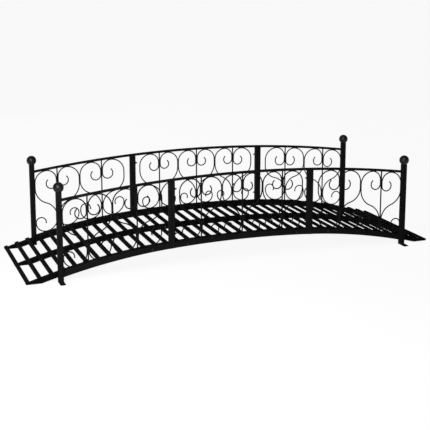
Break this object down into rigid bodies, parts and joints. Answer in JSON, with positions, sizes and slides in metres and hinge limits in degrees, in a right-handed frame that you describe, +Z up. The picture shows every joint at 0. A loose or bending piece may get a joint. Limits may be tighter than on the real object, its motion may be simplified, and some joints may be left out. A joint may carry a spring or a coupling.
{
  "type": "arched garden bridge",
  "caption": "Small arched garden footbridge in black coated steel, with a slatted deck, heart scrollwork side panels and ball finials on its end posts.",
  "frame": {"origin": "on the ground under the middle of the bridge", "axes": "+X along the walk, +Y across it, +Z up"},
  "size_m": [2.1408, 0.772, 0.4765],
  "materials": {
    "frame_coat": "satin black powder coat",
    "scroll_coat": "satin black powder coat",
    "finial_coat": "satin black powder coat",
    "deck_coat": "satin black powder coat",
    "foot_coat": "satin black powder coat"
  },
  "bodies": {
    "root": {"end_post_front_left": "frame_coat", "end_post_front_right": "frame_coat", "end_post_back_left": "frame_coat", "end_post_back_right": "frame_coat", "finial_front_left": "finial_coat", "finial_front_right": "finial_coat", "finial_back_left": "finial_coat", "finial_back_right": "finial_coat", "foot_front_left": "foot_coat", "foot_front_right": "foot_coat", "foot_back_left": "foot_coat", "foot_back_right": "foot_coat", "end_upright_front_left": "frame_coat", "end_upright_front_right": "frame_coat", "end_upright_back_left": "frame_coat", "end_upright_back_right": "frame_coat", "mid_uprights_front": "frame_coat", "mid_uprights_back": "frame_coat", "top_rail_front_left": "frame_coat", "top_rail_front_mid": "frame_coat", "top_rail_front_right": "frame_coat", "top_rail_back_left": "frame_coat", "top_rail_back_mid": "frame_coat", "top_rail_back_right": "frame_coat", "bottom_rail_front_left": "frame_coat", "bottom_rail_front_mid": "frame_coat", "bottom_rail_front_right": "frame_coat", "bottom_rail_back_left": "frame_coat", "bottom_rail_back_mid": "frame_coat", "bottom_rail_back_right": "frame_coat", "scrolls_front_left": "scroll_coat", "scrolls_front_mid": "scroll_coat", "scrolls_front_right": "scroll_coat", "scrolls_back_left": "scroll_coat", "scrolls_back_mid": "scroll_coat", "scrolls_back_right": "scroll_coat", "stringers_left": "frame_coat", "stringers_mid": "frame_coat", "stringers_right": "frame_coat", "splices_left": "foot_coat", "splices_right": "foot_coat", "slats_left": "deck_coat", "slats_mid": "deck_coat", "slats_right": "deck_coat"}
  },
  "joints": []
}
